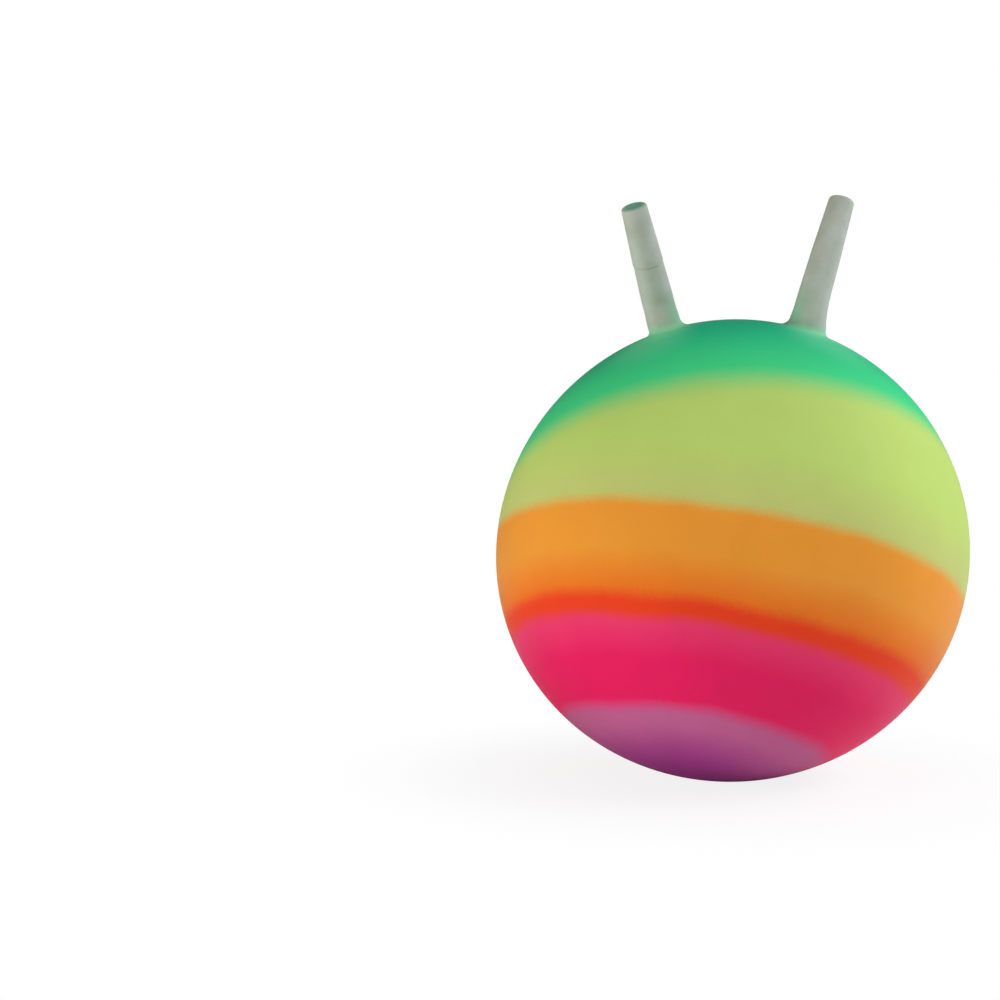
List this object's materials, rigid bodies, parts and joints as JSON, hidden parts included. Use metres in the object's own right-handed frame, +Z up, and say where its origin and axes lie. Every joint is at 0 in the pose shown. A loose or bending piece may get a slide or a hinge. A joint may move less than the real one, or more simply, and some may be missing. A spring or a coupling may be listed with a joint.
{
  "type": "hopper ball",
  "caption": "Air-filled soft ball with a rainbow-sprayed skin, a pair of flexible hand horns with sleeve grips, and a plugged inflation valve, for sitting and bouncing on.",
  "frame": {"origin": "on the floor under the middle of the ball, at the centre of its flat contact patch", "axes": "+Z up, +X towards the right horn as seen from the front, -Y towards the front, the rider's side and the valve at +Y"},
  "size_m": [0.45, 0.45, 0.5529],
  "materials": {
    "sprayed_skin": "satin",
    "bare_pvc": "satin",
    "valve_pvc": "satin",
    "plug_plastic": "satin"
  },
  "bodies": {
    "ball": {"ball_skin": "sprayed_skin", "left_horn_root": "bare_pvc", "right_horn_root": "bare_pvc", "valve_seat": "valve_pvc"},
    "left_grip": {"left_horn_grip": "bare_pvc"},
    "right_grip": {"right_horn_grip": "bare_pvc"},
    "plug": {"valve_plug": "plug_plastic"}
  },
  "joints": [
    {"name": "left_horn_flex", "type": "hinge", "parent": "ball", "child": "left_grip", "pos_m": [-0.07216, -0.00102, 0.45083], "axis": [0.9593, 0, 0.2823], "range_deg": [-25, 25], "stiffness_Nm_per_rad": 3, "deforming": ["left_horn_root"]},
    {"name": "right_horn_flex", "type": "hinge", "parent": "ball", "child": "right_grip", "pos_m": [0.07218, 0.00035, 0.4509], "axis": [0.9593, 0, -0.2823], "range_deg": [-25, 25], "stiffness_Nm_per_rad": 3, "deforming": ["right_horn_root"]},
    {"name": "valve_plug_pull", "type": "slide", "parent": "ball", "child": "plug", "axis": [0, 0.5299, 0.848], "range_m": [0, 0.025]}
  ]
}
